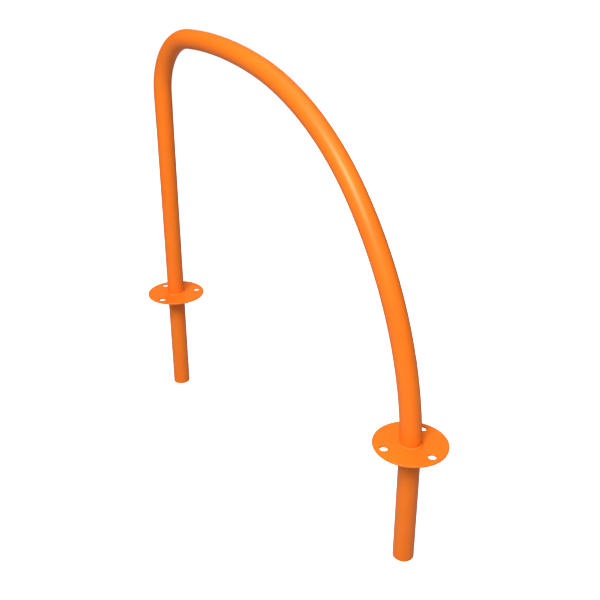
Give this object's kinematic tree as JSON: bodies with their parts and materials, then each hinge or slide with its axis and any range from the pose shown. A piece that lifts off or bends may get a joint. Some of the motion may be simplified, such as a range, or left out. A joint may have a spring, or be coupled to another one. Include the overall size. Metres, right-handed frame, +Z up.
{
  "type": "playground climbing arch",
  "caption": "Lopsided bent-tube arch to climb over and hang from, with round ground flanges and straight roots that are set into footings.",
  "frame": {"origin": "on the upright leg's axis at ground level, which is the underside of both flanges", "axes": "+X from the upright leg to the swept leg, +Y across the arch, +Z up, with the arch in the XZ plane"},
  "size_m": [1.005, 0.145, 0.9509],
  "materials": {
    "coated_tube": "orange powder coat, semi-gloss",
    "coated_plate": "orange powder coat, semi-gloss",
    "coated_weld": "orange powder coat over a weld bead"
  },
  "bodies": {
    "root": {"arch_tube": "coated_tube", "upright_flange": "coated_plate", "upright_fillet_weld": "coated_weld", "upright_groove_weld": "coated_weld", "swept_flange": "coated_plate", "swept_fillet_weld": "coated_weld", "swept_groove_weld": "coated_weld"}
  },
  "joints": []
}
